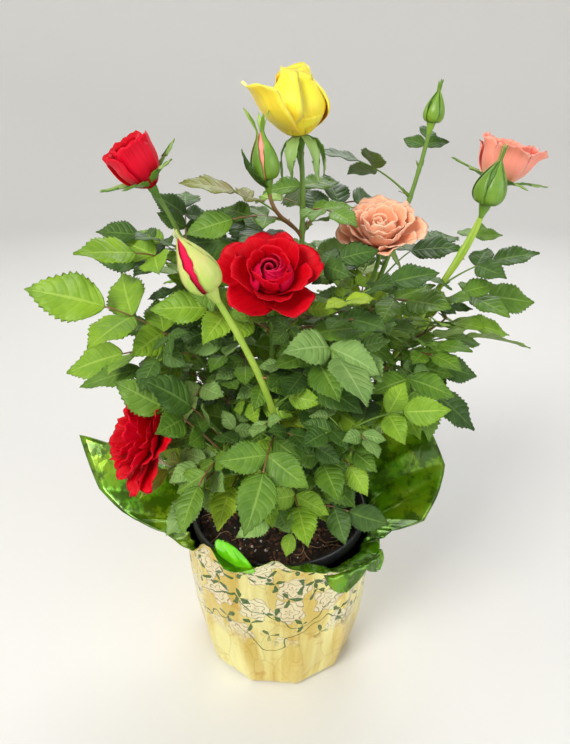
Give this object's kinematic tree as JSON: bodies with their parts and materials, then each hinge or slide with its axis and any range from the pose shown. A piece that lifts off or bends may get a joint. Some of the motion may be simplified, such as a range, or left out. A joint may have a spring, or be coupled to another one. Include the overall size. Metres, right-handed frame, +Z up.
{
  "type": "potted rose bush",
  "caption": "Miniature rose bush in flower, with leafy canes, open roses and buds, in a nursery pot wrapped in a flared foil cover.",
  "frame": {"origin": "middle of the foil cover's flat underside", "axes": "+Z up the plant, +X to the right and +Y away from the viewer at the foil cover's low front edge"},
  "size_m": [0.3125, 0.2344, 0.4012],
  "materials": {
    "foil": "glossy",
    "pot": "satin",
    "soil": "rough",
    "cane": "satin",
    "leaves": "satin",
    "young_growth": "satin",
    "yellow_petals": "soft",
    "red_petals": "soft",
    "pink_petals": "soft",
    "coral_petals": "soft"
  },
  "bodies": {
    "root": {"foil_cover": "foil", "nursery_pot": "pot", "potting_soil": "soil", "cane_yellow_rose": "cane", "flower_yellow_rose": "yellow_petals", "spray_yellow_rose": "leaves", "cane_red_half_open_rose": "cane", "flower_red_half_open_rose": "red_petals", "spray_red_half_open_rose": "leaves", "cane_tall_bud": "cane", "spray_tall_bud": "young_growth", "cane_pink_rose": "cane", "flower_pink_rose": "pink_petals", "spray_pink_rose": "leaves", "cane_coral_rose": "cane", "flower_coral_rose": "coral_petals", "spray_coral_rose": "leaves", "cane_red_open_rose": "cane", "flower_red_open_rose": "red_petals", "spray_red_open_rose": "leaves", "cane_split_bud": "cane", "spray_split_bud": "young_growth", "cane_blown_red_rose": "cane", "flower_blown_red_rose": "red_petals", "spray_blown_red_rose": "leaves", "spray_pink_bud": "young_growth", "spray_green_bud": "young_growth", "foliage_left": "leaves", "foliage_left_back": "leaves", "foliage_back_left": "leaves", "foliage_back": "leaves", "foliage_back_right": "leaves", "foliage_right": "leaves", "foliage_front_right": "leaves", "foliage_front": "leaves", "foliage_front_left": "leaves", "foliage_low_left": "leaves", "foliage_crown": "leaves"}
  },
  "joints": []
}
